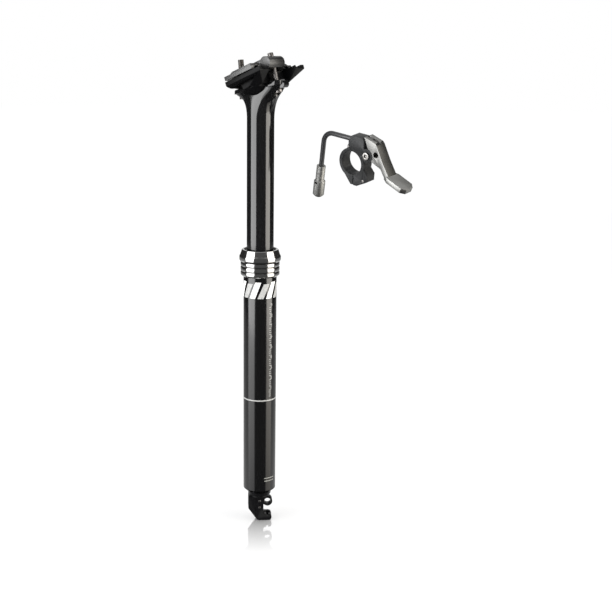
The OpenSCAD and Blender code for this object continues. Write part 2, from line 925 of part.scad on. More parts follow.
module remote_lever() {
    hub = lever_w / 2;
    color("#cfd0d2")
        in_remote()
            difference() {
                union() {
                    lever_arm();
                    cross_bar(remote_pivot[0], remote_pivot[1], hub_r, -hub, hub);
                    across(-hub, hub)
                        polygon([
                            remote_pivot + [0, -hub_r + 0.3], remote_pivot + [10.3, -2],
                            remote_pivot + [10.3, 4], remote_pivot + [0, hub_r - 0.3]
                        ]);
                    translate([pad_at[0], 0, pad_at[1]])
                        rotate([0, pad_slope, 0])
                            linear_extrude(height = pad_t)
                                pad_outline();
                }
                cross_bar(remote_pivot[0], remote_pivot[1], bush_r, -20, 20);
                cross_bar(remote_pivot[0] + 10.4, remote_pivot[1] + 3.2, 2.7, -20, 20);
                across(-1.8, 1.8)
                    polygon([[12, 31], [12, 24.4], [26.4, 20.4], [30, 27]]);
            }
}

module lever_bushing() {
    color("#7a6a45")
        in_remote()
            difference() {
                cross_bar(remote_pivot[0], remote_pivot[1], bush_r, -lever_w / 2, lever_w / 2);
                cross_bar(remote_pivot[0], remote_pivot[1], remote_pivot_d / 2 + turn_gap, -20, 20);
            }
}

module remote_pivot_bolt() {
    head_y = -clamp_w / 2;
    color("#c4c5c8")
        in_remote()
            difference() {
                union() {
                    cross_bar(remote_pivot[0], remote_pivot[1], remote_pivot_d / 2, head_y, clamp_w / 2);
                    cross_bar(remote_pivot[0], remote_pivot[1], 3.6, head_y - 1.8, head_y);
                }
                translate([remote_pivot[0], head_y - 3, remote_pivot[1]])
                    rotate([-90, 0, 0])
                        cylinder(h = 3.2, r = 1.75, $fn = 6);
            }
}

// the frame of the guide's leg, its origin at the leg's lower end
module on_guide_leg() {
    translate([guide_x - guide_run, 0, guide_z - guide_bend])
        rotate([0, guide_lean, 0])
            translate([-guide_bend, 0, -guide_drop])
                children();
}

module guide_path(r, over) {
    into_bend = 1;
    translate([guide_x - guide_run - into_bend, 0, guide_z])
        rotate([0, 90, 0])
            cylinder(h = into_bend + guide_run + 6 + over, r = r);
    translate([guide_x - guide_run, 0, guide_z - guide_bend])
        rotate([90, 0, 0])
            rotate([0, 0, 90])
                rotate_extrude(angle = 90 - guide_lean)
                    translate([guide_bend, 0])
                        circle(r = r + bend_swell);
    on_guide_leg()
        translate([0, 0, -over])
            cylinder(h = guide_drop + over + into_bend, r = r);
}

module cable_guide() {
    color("#2b2b2e")
        in_remote()
            difference() {
                guide_path(guide_r, 0);
                guide_path(cable_r, 1);
            }
}

module cable_barrel() {
    top = 6;
    foot_l = barrel_l / 2;
    chamfer = 2;
    color("#b9babd")
        in_remote()
            on_guide_leg()
                difference() {
                    rotate_extrude()
                        polygon([
                            [0, top - barrel_l], [barrel_foot_d / 2 - chamfer, top - barrel_l],
                            [barrel_foot_d / 2, top - barrel_l + chamfer], [barrel_foot_d / 2, top - barrel_l + foot_l],
                            [barrel_d / 2, top - barrel_l + foot_l + 1.2], [barrel_d / 2, top], [0, top]
                        ]);
                    cylinder(h = 20, r = guide_r);
                    translate([0, 0, top - barrel_l - 1])
                        cylinder(h = barrel_l, r = cable_r);
                    translate([0, 0, top - barrel_l - 1])
                        cylinder(h = housing_depth + 1, r = housing_r);
                    cross_bar(0, top - foot_l - 1, barrel_screw_r, -10, 0);
                }
}

module barrel_screw() {
    z = 6 - barrel_l / 2 - 1;
    color("#55575b")
        in_remote()
            on_guide_leg()
                difference() {
                    cross_bar(0, z, barrel_screw_r, -barrel_d / 2 + 0.2, -cable_r);
                    translate([0, -barrel_d / 2 - 1, z])
                        rotate([-90, 0, 0])
                            cylinder(h = 2.4, r = 0.8, $fn = 6);
                }
}

lower_tube();
seal_collar();
wiper_seal();
scraper_ring();
upper_bushing();
bottom_plug();
piston_rod();
piston();
piston_ring();
rod_nut();
actuator_bracket();
lever_pivot_pin();
stop_pin();
stanchion_head();
lower_bushing();
guide_keys();
gas_cylinder();
rod_gland();
gland_seal();
cylinder_cap();
retaining_ring();
top_out_ring();
lower_cradle();
upper_clamp();
front_bolt();
rear_bolt();
front_washer();
rear_washer();
front_barrel_nut();
rear_barrel_nut();
valve_pin();
actuator_lever();
remote_body();
clamp_band();
band_hinge_pin();
band_screw();
remote_lever();
remote_pivot_bolt();
lever_bushing();
cable_guide();
cable_barrel();
barrel_screw();
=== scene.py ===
"""Looks of the dropper seatpost: its tubes, saddle clamp, foot lever and handlebar remote."""

import json
import math

import bmesh
import bpy
from mathutils import Matrix, Vector


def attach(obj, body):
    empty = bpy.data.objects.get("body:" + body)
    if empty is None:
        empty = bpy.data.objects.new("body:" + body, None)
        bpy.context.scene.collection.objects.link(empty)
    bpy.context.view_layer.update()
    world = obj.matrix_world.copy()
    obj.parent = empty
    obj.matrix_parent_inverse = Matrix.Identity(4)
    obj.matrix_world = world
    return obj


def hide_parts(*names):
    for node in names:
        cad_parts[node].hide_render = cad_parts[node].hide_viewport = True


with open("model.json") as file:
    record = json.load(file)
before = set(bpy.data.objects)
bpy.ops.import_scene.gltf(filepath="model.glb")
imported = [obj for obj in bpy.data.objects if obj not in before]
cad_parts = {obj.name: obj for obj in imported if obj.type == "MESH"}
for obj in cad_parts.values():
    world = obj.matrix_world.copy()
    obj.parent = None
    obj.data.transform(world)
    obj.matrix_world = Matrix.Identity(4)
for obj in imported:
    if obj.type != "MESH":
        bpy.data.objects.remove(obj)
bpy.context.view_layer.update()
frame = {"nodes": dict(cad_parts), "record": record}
MM = 0.001

# the post, in millimetres, as in its CAD source
TUBE_R, TUBE_WALL, TUBE_BOTTOM, TUBE_CHAMFER = 15.45, 1.6, -95.0, 4.0
TUBE_BORE_R, SPIGOT_R, NECK_HOLE_R = TUBE_R - TUBE_WALL, TUBE_R - 0.4, 11.05
COLLAR_Z, COLLAR_TOP = 118.0, 143.0
TUBE_FLOOR, TUBE_TOP = TUBE_BOTTOM + TUBE_CHAMFER + 1, COLLAR_TOP - 9
SEAL_SEAT_R, SEAL_Z = 15.1, COLLAR_TOP - 6.5
STANCHION_R, STANCHION_BOTTOM, STANCHION_BORE_R = 12.5, 44.0, 10.75
WAIST_R = STANCHION_R + 0.3
FLARE_Z, FLARE_H = 262.0, 27.0
BORE_TOP = FLARE_Z - 12
EAR_REACH, EAR_HALF_W, EAR_SLOPE = 28.0, 10.5, math.radians(12)
TILT_Z, CLAMP_TILT, SEAT_R = 300.0, math.radians(21), 16.0
FRONT_SEAT, REAR_SEAT, REAR_BAR = (21.4, 284.3), (-20.3, 292.0), (-27.5, 295.0)
REAR_BAR_R, WASHER_R, BOLT_R, BOLT_HEAD_R, BOLT_ROOM = 3.3, 2.9, 2.5, 3.7, 0.8
FRONT_BOLT_OVER, REAR_BOLT_OVER = 16.0, 9.0
FOOT_Z = -124.0

# level directions of the photograph's camera
TO_CAMERA = Vector((-0.643, 0.766, 0)).normalized()
RIGHT = Vector((-0.766, -0.643, 0)).normalized()

# the remote's place beside the post, and its nod to the camera
REMOTE_AT, REMOTE_NOD = Vector((-66.5, -55.8, 225.3)), math.radians(13)


def in_post(x, z):
    """A point of the clamp's own frame, in the post's."""
    c, s = math.cos(CLAMP_TILT), math.sin(CLAMP_TILT)
    return x * c + z * s, TILT_Z - x * s + z * c


def in_remote(x, z):
    """A point of the remote's middle plane, in the post's frame, in millimetres."""
    turn = Matrix.Rotation(REMOTE_NOD, 3, RIGHT) @ Matrix.Rotation(math.pi, 3, "Z")
    return REMOTE_AT + turn @ Vector((x, 0, z))


# the barrel nuts of the two clamp bolts
FRONT_NUT, REAR_NUT = in_post(21.9, 7), in_post(-17.5, 7)


# materials
def add_node(tree, kind, links=None, **values):
    """Adds a node; values set its properties or unlinked inputs, links join (node, output) to inputs."""
    n = tree.nodes.new(kind)
    for key, value in values.items():
        if key in n.inputs:
            n.inputs[key].default_value = value
        else:
            setattr(n, key, value)
    for key, (other, out) in (links or {}).items():
        tree.links.new(other.outputs[out], n.inputs[key])
    return n


def node(mat, kind, links=None, **values):
    """Adds a node to a material or a world."""
    return add_node(mat.node_tree, kind, links, **values)


def shader(name, color, metallic=0.0, roughness=0.4, **sockets):
    """A material with a Principled shader, its plain values set on its own sockets."""
    mat = bpy.data.materials.new(name)
    mat.use_nodes = True
    bsdf = mat.node_tree.nodes["Principled BSDF"]
    bsdf.inputs["Base Color"].default_value = (*color, 1)
    bsdf.inputs["Metallic"].default_value = metallic
    bsdf.inputs["Roughness"].default_value = roughness
    for socket, value in sockets.items():
        bsdf.inputs[socket.replace("_", " ")].default_value = value
    return mat


def surface(mat, source):
    """Makes a node the material's surface."""
    mat.node_tree.links.new(source.outputs[0], mat.node_tree.nodes["Material Output"].inputs["Surface"])


def grain(mat, scale, stretch=(1, 1, 1), detail=4.0):
    """Noise on the piece's own coordinates, stretched along its grain."""
    coord = node(mat, "ShaderNodeTexCoord")
    place = node(mat, "ShaderNodeMapping", {"Vector": (coord, "Object")}, Scale=stretch)
    return node(mat, "ShaderNodeTexNoise", {"Vector": (place, "Vector")}, Scale=scale, Detail=detail)


def rings_along(mat, direction, scale, **values):
    """Bands across one direction of the piece's own coordinates."""
    coord = node(mat, "ShaderNodeTexCoord")
    return node(mat, "ShaderNodeTexWave", {"Vector": (coord, "Object")}, bands_direction=direction,
                Scale=scale, **values)


def spread(mat, source, low, high, out="Fac"):
    """Maps a 0 to 1 value onto low to high."""
    return node(mat, "ShaderNodeMapRange", {"Value": (source, out)}, **{"To Min": low, "To Max": high})


def join(mat, source, out, socket):
    mat.node_tree.links.new(source.outputs[out], mat.node_tree.nodes["Principled BSDF"].inputs[socket])


def roughen(mat, source, rough):
    """Roughness that varies between two values."""
    join(mat, spread(mat, source, *rough), "Result", "Roughness")


def bump(mat, source, strength, distance, out="Fac"):
    b = node(mat, "ShaderNodeBump", {"Height": (source, out)}, Strength=strength, Distance=distance)
    join(mat, b, "Normal", "Normal")


def two_tone(mat, source, dark, light, out="Fac", low=0.3, high=0.7):
    """Base colour from dark to light, as the source goes from low to high."""
    ramp = node(mat, "ShaderNodeValToRGB", {"Fac": (source, out)})
    for element, place, color in zip(ramp.color_ramp.elements, (low, high), (dark, light)):
        element.position, element.color = place, (*color, 1)
    join(mat, ramp, "Color", "Base Color")


def tone_and_edge_highlight(mat, source, dark, light, out="Fac"):
    """Colour from a noise, with the convex edges painted a little lighter: a painted edge highlight."""
    geo = node(mat, "ShaderNodeNewGeometry")
    painted_edge_light = node(mat, "ShaderNodeMapRange", {"Value": (geo, "Pointiness")},
                **{"From Min": 0.52, "From Max": 0.6})
    base = spread(mat, source, 0.0, 0.25, out)
    total = node(mat, "ShaderNodeMath", {0: (painted_edge_light, "Result"), 1: (base, "Result")}, operation="MAXIMUM")
    two_tone(mat, total, dark, light, out="Value", low=0.0, high=1.0)


def tinted(color, share):
    return tuple(c * share for c in color)


def gloss_black(name):
    """Hard black anodising, polished: a clear reflection with a trace of orange peel."""
    mat = shader(name, (0.004, 0.004, 0.005), 0.0, 0.09)
    n = grain(mat, 900, (1, 1, 0.25))
    roughen(mat, n, (0.06, 0.11))
    two_tone(mat, n, (0.002, 0.002, 0.002), (0.004, 0.004, 0.0045))
    bump(mat, grain(mat, 260), 0.03, 0.0001)
    return mat


def satin_black(name, rough=(0.22, 0.32), light=0.009, shine=0.25, painted_edge_light=1.0):
    """Black anodised tube or forging, drawn along its length."""
    mat = shader(name, (0.006, 0.006, 0.007), 0.0, 0.28, Specular_IOR_Level=shine)
    n = grain(mat, 700, (6, 6, 0.35))
    roughen(mat, n, rough)
    # convex edges painted lighter: a painted edge highlight
    tone_and_edge_highlight(mat, n, tinted((0.3, 0.3, 0.35), light), (light * painted_edge_light,) * 3)
    bump(mat, grain(mat, 1500), 0.05, 0.0001)
    return mat


def turned_metal(name, color, rough=(0.16, 0.3), pitch=4200.0, depth=0.12):
    """Turned aluminium: fine rings of the cutting tool round the part's own axis."""
    mat = shader(name, color, 1.0, 0.22)
    rings = rings_along(mat, "Z", pitch, Distortion=1.2, Detail=2.0)
    n = grain(mat, 300, (1, 1, 14))
    roughen(mat, n, rough)
    two_tone(mat, n, tinted(color, 0.86), color)
    bump(mat, rings, depth, 0.00004)
    return mat


def blasted_metal(name, color, metallic=1.0, rough=(0.36, 0.5), size=2600, depth=0.25, shine=0.5):
    """Bead-blasted and anodised: a fine even grain."""
    mat = shader(name, color, metallic, 0.42, Specular_IOR_Level=shine)
    n = grain(mat, size)
    roughen(mat, n, rough)
    # convex edges painted lighter: a painted edge highlight
    tone_and_edge_highlight(mat, n, tinted(color, 0.85), tuple(min(1, c * 1.35 + 0.01) for c in color))
    bump(mat, n, depth, 0.00006)
    return mat


def ribbed_metal(name, color, rib=240.0):
    """Grey machined clamp with fine ribs across its jaws."""
    mat = shader(name, color, 1.0, 0.45)
    ribs = rings_along(mat, "X", rib, Distortion=0.4)
    roughen(mat, grain(mat, 1600), (0.34, 0.5))
    two_tone(mat, ribs, tinted(color, 0.6), color)
    bump(mat, ribs, 0.35, 0.0002)
    return mat


def milled_metal(name, color, rough=(0.14, 0.28), along=(1, 1, 1), depth=0.1):
    """Milled and polished: faint tool lines along one direction."""
    mat = shader(name, color, 1.0, 0.2)
    n = grain(mat, 1400, along)
    roughen(mat, n, rough)
    two_tone(mat, n, tinted(color, 0.88), color)
    bump(mat, n, depth, 0.00003)
    return mat


def moulded(name, dark, light, rough=(0.45, 0.65), size=1800, depth=0.2):
    """Moulded rubber or polymer."""
    mat = shader(name, light, 0.0, 0.55)
    n = grain(mat, size)
    roughen(mat, n, rough)
    two_tone(mat, n, dark, light)
    bump(mat, n, depth, 0.00008)
    return mat


def printed(name, dark, light, rough=(0.35, 0.5)):
    """Ink on the lower tube."""
    return moulded(name, dark, light, rough, size=2400, depth=0.05)


FINISH = {
    "black_anodised": satin_black("black anodised", shine=0.14),
    "black_gloss": gloss_black("black gloss"),
    "turned_aluminium": turned_metal("turned aluminium", (0.4, 0.4, 0.395), (0.07, 0.13), depth=0.05),
    "grey_aluminium": ribbed_metal("grey aluminium", (0.09, 0.09, 0.09)),
    "dark_grey_aluminium": blasted_metal("dark grey anodised", (0.012, 0.0125, 0.013), 0.0,
                                         (0.4, 0.52), shine=0.15),
    "cylinder_aluminium": milled_metal("drawn cylinder", (0.6, 0.61, 0.63), along=(4, 4, 0.2)),
    "polished_steel": milled_metal("polished steel", (0.72, 0.71, 0.7), rough=(0.08, 0.16)),
    "plain_steel": milled_metal("plain steel", (0.2, 0.19, 0.185), rough=(0.32, 0.46)),
    "dark_steel": milled_metal("blackened steel", (0.06, 0.06, 0.065), rough=(0.2, 0.34)),
    "key_brass": milled_metal("key brass", (0.72, 0.53, 0.24)),
    "seal_rubber": moulded("seal rubber", (0.008, 0.008, 0.008), (0.02, 0.02, 0.02)),
    "bushing_polymer": moulded("bushing polymer", (0.3, 0.25, 0.15), (0.42, 0.35, 0.21)),
    "dark_plastic": moulded("dark plastic", (0.03, 0.03, 0.032), (0.06, 0.06, 0.065)),
    "black_pipe": moulded("coated pipe", (0.014, 0.014, 0.015), (0.024, 0.024, 0.026),
                          rough=(0.28, 0.4), depth=0.1),
}
LEVER_SILVER = milled_metal("thumb lever silver", (0.26, 0.26, 0.252), (0.42, 0.5), (1, 6, 1))
# a darker copy of the lever's silver: painted shade for its front face
LEVER_PAINTED_SHADE = milled_metal("thumb lever painted shade face", (0.045, 0.045, 0.043), (0.36, 0.46), (1, 6, 1))
BARREL_SILVER = milled_metal("cable barrel silver", (0.3, 0.3, 0.29), (0.5, 0.56), (5, 5, 2), depth=0.02)
BOLT_SILVER = milled_metal("pivot bolt silver", (0.27, 0.262, 0.25), (0.22, 0.32))
THREAD_STEEL = milled_metal("bolt thread steel", (0.07, 0.065, 0.06), (0.35, 0.5))
# the cradle's edges painted lighter than its faces: a painted edge highlight
CRADLE_BLACK = satin_black("cradle black", (0.28, 0.38), light=0.006, shine=0.05, painted_edge_light=1.6)
TUBE_BLACK = satin_black("lower tube black", (0.12, 0.17), light=0.004, shine=0.5)
PRINT_WHITE = printed("printed white", (0.5, 0.5, 0.49), (0.62, 0.62, 0.61))
PRINT_SILVER = printed("printed silver", (0.24, 0.24, 0.235), (0.32, 0.32, 0.31), (0.3, 0.45))
PRINT_GREY = printed("printed grey", (0.14, 0.14, 0.128), (0.2, 0.2, 0.185))
SLOT_OF = {s["node"]: s["material_slot"] for s in frame["record"]["subparts"]}
BODY_OF = {n: b for b, nodes in frame["record"]["behaviour"]["bodies"].items() for n in nodes}

for name, piece in frame["nodes"].items():
    piece.data.materials.clear()
    piece.data.materials.append(FINISH[SLOT_OF[name]])


# making pieces
def to_mesh(name, bm):
    """A mesh from a bmesh, which is freed."""
    mesh = bpy.data.meshes.new(name)
    bm.to_mesh(mesh)
    bm.free()
    return mesh


def in_scene(name, data):
    """An object with the data, linked to the scene."""
    thing = bpy.data.objects.new(name, data)
    bpy.context.scene.collection.objects.link(thing)
    return thing


def new_piece(name, bm, material, body, slot, replaces=(), sharp=35.0):
    """Turns a bmesh in metres into a finished piece that rides on a body."""
    return finish_piece(in_scene(name, to_mesh(name, bm)), material, body, slot, replaces, sharp)


def finish_piece(piece, material, body, slot, replaces=(), sharp=35.0):
    """Gives a piece its material, its sharp edges and its body, and hides the CAD nodes it stands for."""
    mesh = piece.data
    mesh.materials.clear()
    mesh.materials.append(material)
    for poly in mesh.polygons:
        poly.use_smooth = True
        poly.material_index = 0
    mesh.set_sharp_from_angle(angle=math.radians(sharp))
    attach(piece, body)
    if replaces:
        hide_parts(*replaces)
    return piece


def settle(piece):
    """Applies a piece's modifiers, so that a plain mesh is left."""
    view = bpy.context.evaluated_depsgraph_get()
    mesh = bpy.data.meshes.new_from_object(piece.evaluated_get(view), preserve_all_data_layers=True,
                                           depsgraph=view)
    piece.modifiers.clear()
    old, piece.data = piece.data, mesh
    mesh.name = piece.name
    bpy.data.meshes.remove(old)
    return piece


def arc(middle, start, end, steps):
    """Points of a round corner about its middle, from start to end."""
    u = start - middle
    turn = u.angle_signed(end - middle, 0)
    for k in range(steps + 1):
        c, s = math.cos(-turn * k / steps), math.sin(-turn * k / steps)
        yield middle + Vector((u.x * c - u.y * s, u.x * s + u.y * c))


def rounded(points, radius, steps=4):
    """A closed outline with each corner rounded; a third value in a point is its own radius."""
    out, count = [], len(points)
    nearly_straight, most_of_a_side = math.radians(88), 0.45
    for i, p in enumerate(points):
        q, r = Vector(p[:2]), p[2] if len(p) > 2 else radius
        a, b = Vector(points[i - 1][:2]) - q, Vector(points[(i + 1) % count][:2]) - q
        half = a.angle(b) / 2
        if r <= 0 or half > nearly_straight:
            out.append(q)
            continue
        cut = min(r / math.tan(half), a.length * most_of_a_side, b.length * most_of_a_side)
        a, b = a.normalized(), b.normalized()
        middle = q + (a + b).normalized() * (cut * math.tan(half) / math.sin(half))
        out += arc(middle, q + a * cut, q + b * cut, steps)
    return out


def lathe(outline, segments=160):
    """A bmesh in metres from a closed outline of (radius, height) in millimetres."""
    bm = bmesh.new()
    rows = []
    for k in range(segments):
        a = 2 * math.pi * k / segments
        c, s = math.cos(a), math.sin(a)
        rows.append([bm.verts.new((r * MM * c, r * MM * s, z * MM)) for r, z in outline])
    n = len(outline)
    for k in range(segments):
        one, two = rows[k], rows[(k + 1) % segments]
        for i in range(n):
            j = (i + 1) % n
            bm.faces.new((one[i], one[j], two[j], two[i]))
    bmesh.ops.remove_doubles(bm, verts=bm.verts, dist=1e-7)
    bmesh.ops.recalc_face_normals(bm, faces=bm.faces)
    return bm


def skin(rings):
    """A bmesh in metres over rings of points in millimetres, closed at both ends."""
    bm = bmesh.new()
    rows = [[bm.verts.new(Vector(p) * MM) for p in ring] for ring in rings]
    for one, two in zip(rows, rows[1:]):
        for k in range(len(one)):
            j = (k + 1) % len(one)
            bm.faces.new((one[k], one[j], two[j], two[k]))
    bm.faces.new(list(reversed(rows[0])))
    bm.faces.new(rows[-1])
    bmesh.ops.recalc_face_normals(bm, faces=bm.faces)
    return bm


def dress(name, width=0.3, material=None, segments=2):
    """Stands for a CAD node with the same solid, its edges broken as a machined part's are."""
    bm = bmesh.new()
    bm.from_mesh(frame["nodes"][name].data)
    bmesh.ops.remove_doubles(bm, verts=bm.verts, dist=2e-6)
    bmesh.ops.dissolve_limit(bm, angle_limit=math.radians(0.6), verts=bm.verts, edges=bm.edges)
    piece = in_scene(name + "_dressed", to_mesh(name + "_dressed", bm))
    for poly in piece.data.polygons:
        poly.use_smooth = True
    edge = piece.modifiers.new("edge", "BEVEL")
    edge.width, edge.segments = width * MM, segments
    edge.limit_method, edge.angle_limit = "ANGLE", math.radians(32)
    edge.use_clamp_overlap, edge.harden_normals = True, False
    settle(piece)
    slot = SLOT_OF[name]
    return finish_piece(piece, material or FINISH[slot], BODY_OF[name], slot, [name], sharp=40.0)


# lower tube and collar
BAND_R, COLLAR_R, STEP_Z = 18.15, 19.35, 132.0
GROOVE, GROOVES, CRISP = 0.8, (0.35, 0.68), 0.06


def tube_outline():
    """Half of the lower tube: chamfered foot, spigot for the collar, and a floor with the neck's hole."""
    return rounded([
        (NECK_HOLE_R, TUBE_BOTTOM, 0.4), (TUBE_R, TUBE_BOTTOM + TUBE_CHAMFER, 1.0), (TUBE_R, COLLAR_Z, 0.1),
        (SPIGOT_R, COLLAR_Z, 0), (SPIGOT_R, TUBE_TOP, 0.1), (TUBE_BORE_R, TUBE_TOP, 0.1),
        (TUBE_BORE_R, TUBE_FLOOR, 0.1), (NECK_HOLE_R, TUBE_FLOOR, 0)
    ], 0.2)


def collar_outline():
    """Half of the turned collar: a grooved band, a rounded head above it, and the seal's seat inside."""
    band = [(SPIGOT_R, COLLAR_Z, 0), (BAND_R - 1.5, COLLAR_Z, 0.3), (BAND_R, COLLAR_Z + 1.5, 0.5)]
    for share in GROOVES:
        z = COLLAR_Z + share * (STEP_Z - COLLAR_Z)
        band += [(BAND_R, z - 0.8, CRISP), (BAND_R - GROOVE, z - 0.5, CRISP), (BAND_R, z + 0.9, CRISP)]
    band += [(BAND_R, STEP_Z - 1, CRISP), (BAND_R - GROOVE, STEP_Z - 0.8, CRISP),
             (BAND_R - 0.1, STEP_Z, CRISP)]
    head = [(COLLAR_R - 0.7, STEP_Z, 0.3), (COLLAR_R, STEP_Z + 1.4, 0.8), (COLLAR_R, STEP_Z + 4.4, 1.0),
            (COLLAR_R - 0.45, STEP_Z + 5.6, 0.1), (COLLAR_R - 0.75, STEP_Z + 5.8, 0.1),
            (COLLAR_R - 2.3, COLLAR_TOP - 0.3, 0.3), (COLLAR_R - 2.6, COLLAR_TOP, 0.2)]
    seat = [(SEAL_SEAT_R, COLLAR_TOP, 0.15), (SEAL_SEAT_R, SEAL_Z, 0), (WAIST_R, SEAL_Z, 0),
            (WAIST_R, TUBE_TOP, 0), (SPIGOT_R, TUBE_TOP, 0)]
    return rounded(band + head + seat, 0.12)


new_piece("lower_tube_turned", lathe(tube_outline()), TUBE_BLACK, "base", "black_anodised", ["lower_tube"])
new_piece("seal_collar_turned", lathe(collar_outline(), 192), FINISH["turned_aluminium"], "base",
          "turned_aluminium", ["seal_collar"])


# sliding tube, forged in one with the head
HEAD_SIDES, FLARE_STEPS, FLARE_CURVE, EAR_SWELL, EAR_SQUARENESS = 192, 40, 2.3, 5.0, 1.4
EAR_EDGE = (2.9, 1.0), (3.7, 0.985), (4.0, 0.955)
PLAIN_RINGS, END_BREAK, END_INSET, REAR_BAR_W = [150.0, 200.0], 0.6, 0.985, 7.0
ACROSS = Matrix.Rotation(math.pi / 2, 4, "X")


def placed(x, z):
    """The matrix of a place in the post's middle plane, given in millimetres."""
    return Matrix.Translation((x * MM, 0, z * MM))


def head_section(z):
    """One ring of the flared head: slim for most of its height, swelling just under the two ears."""
    w = min(1.0, max(0.0, (z - FLARE_Z) / FLARE_H))
    flare = 1 - math.sqrt(max(0.0, 1 - w ** FLARE_CURVE))
    swell = EAR_SWELL * w ** 8 * (1 - w)
    hy = STANCHION_R + (EAR_HALF_W - STANCHION_R) * w * w
    e = 2 / (2 + EAR_SQUARENESS * w * w)
    for k in range(HEAD_SIDES):
        a = 2 * math.pi * k / HEAD_SIDES
        c, s = math.cos(a), math.sin(a)
        hx = STANCHION_R + (EAR_REACH - STANCHION_R) * (flare + swell * abs(c))
        x = hx * math.copysign(abs(c) ** e, c)
        y = hy * math.copysign(abs(s) ** e, s)
        yield x, y, z - x * math.tan(EAR_SLOPE) * w * w


def head_rings():
    """Rings up the sliding tube, the flare and the ears' rounded upper edge."""
    heights = [STANCHION_BOTTOM, STANCHION_BOTTOM + END_BREAK] + PLAIN_RINGS
    for i in range(FLARE_STEPS + 1):
        heights.append(FLARE_Z + FLARE_H * math.sin(math.pi / 2 * i / FLARE_STEPS))
    rings = [list(head_section(z)) for z in heights]
    rings[0] = [(x * END_INSET, y * END_INSET, z) for x, y, z in rings[0]]
    top = rings[-1]
    return rings + [[(x * inset, y * inset, z + lift) for x, y, z in top] for lift, inset in EAR_EDGE]


def cutter(name, matrix, r, length):
    bm = bmesh.new()
    bmesh.ops.create_cone(bm, cap_ends=True, segments=96, radius1=r * MM, radius2=r * MM, depth=length * MM,
                          matrix=matrix)
    return in_scene(name, to_mesh(name, bm))


def bolt_frame(seat, nut):
    """The matrix of a bolt's own frame, z along the bolt."""
    lean = math.atan2(nut[0] - seat[0], nut[1] - seat[1])
    return placed(*seat) @ Matrix.Rotation(lean, 4, "Y")


def head_cuts():
    """What is cut from the forged blank: the bore, the clamp's round seat and each bolt's way."""
    yield cutter("bore", placed(0, (STANCHION_BOTTOM + BORE_TOP) / 2), STANCHION_BORE_R,
                 BORE_TOP - STANCHION_BOTTOM)
    yield cutter("seat", placed(0, TILT_Z) @ ACROSS, SEAT_R, 80.0)
    for label, seat, nut in (("front", FRONT_SEAT, FRONT_NUT), ("rear", REAR_SEAT, REAR_NUT)):
        at = bolt_frame(seat, nut)
        yield cutter(label + "_rocker", at @ ACROSS, WASHER_R + 0.04, 9.0)
        yield cutter(label + "_well", at @ placed(0, -15), BOLT_HEAD_R + BOLT_ROOM, 30.0)
        yield cutter(label + "_hole", at @ placed(0, 14), BOLT_R + BOLT_ROOM, 30.0)


def forged_head():
    """The sliding tube with its head and the small bar behind the rear ear."""
    piece = in_scene("stanchion_forged", to_mesh("stanchion_forged", skin(head_rings())))
    tools = [(cutter("rear_bar", placed(*REAR_BAR) @ ACROSS, REAR_BAR_R, REAR_BAR_W), "UNION")]
    tools += [(tool, "DIFFERENCE") for tool in head_cuts()]
    for tool, operation in tools:
        m = piece.modifiers.new(tool.name, "BOOLEAN")
        m.operation, m.solver, m.object = operation, "EXACT", tool
    settle(piece)
    for tool, operation in tools:
        bpy.data.objects.remove(tool)
    finish_piece(piece, FINISH["black_gloss"], "upper_post", "black_gloss", ["stanchion_head"], sharp=32.0)


forged_head()


# machined and forged parts with broken edges
EDGES = {"upper_clamp": 0.4, "rear_bolt": 0.25, "front_washer": 0.2, "rear_washer": 0.2,
         "actuator_bracket": 0.45, "actuator_lever": 0.5, "remote_body": 0.5, "clamp_band": 0.4,
         "lever_pivot_pin": 0.2, "stop_pin": 0.2, "band_hinge_pin": 0.2, "bottom_plug": 0.3}
for name, width in EDGES.items():
    dress(name, width)
dress("lower_cradle", 0.5, CRADLE_BLACK)
dress("front_bolt", 0.25, THREAD_STEEL)


# the lever's front, whose faces get the painted shade
LEVER_FACE, FACING = (0.87, 0.5), 0.95


def thumb_lever():
    """The remote's lever, its front face given a darker copy of its silver: painted shade."""
    lever = dress("remote_lever", 0.6, LEVER_SILVER, segments=3).data
    lever.materials.append(LEVER_PAINTED_SHADE)
    front = (in_remote(*LEVER_FACE) - in_remote(0, 0)).normalized()
    for face in lever.polygons:
        if face.normal.dot(front) > FACING:
            face.material_index = 1


thumb_lever()
dress("remote_pivot_bolt", 0.3, BOLT_SILVER)
dress("cable_barrel", 0.25, BARREL_SILVER)


# what repeats: thread turns and scale marks
def node_group(name, numbers):
    """A geometry node group with named number inputs, and its input node."""
    group = bpy.data.node_groups.new(name, "GeometryNodeTree")
    group.interface.new_socket(name="Geometry", in_out="INPUT", socket_type="NodeSocketGeometry")
    for label, kind in numbers.items():
        group.interface.new_socket(name=label, in_out="INPUT", socket_type=kind)
    group.interface.new_socket(name="Geometry", in_out="OUTPUT", socket_type="NodeSocketGeometry")
    return group, add_node(group, "NodeGroupInput")


def finish_group(group, source, material):
    """Ends a group: instances made real, then the material."""
    real = add_node(group, "GeometryNodeRealizeInstances", {0: (source, 0)})
    paint = add_node(group, "GeometryNodeSetMaterial", {"Geometry": (real, 0)}, Material=material)
    add_node(group, "NodeGroupOutput", {0: (paint, 0)})
    return group


def grow(name, mesh, group, values):
    """An object whose mesh the group has made from the values."""
    piece = in_scene(name, mesh)
    m = piece.modifiers.new("grown", "NODES")
    m.node_group = group
    for item in group.interface.items_tree:
        if item.in_out == "INPUT" and item.name in values:
            m[item.identifier] = values[item.name]
    return settle(piece)


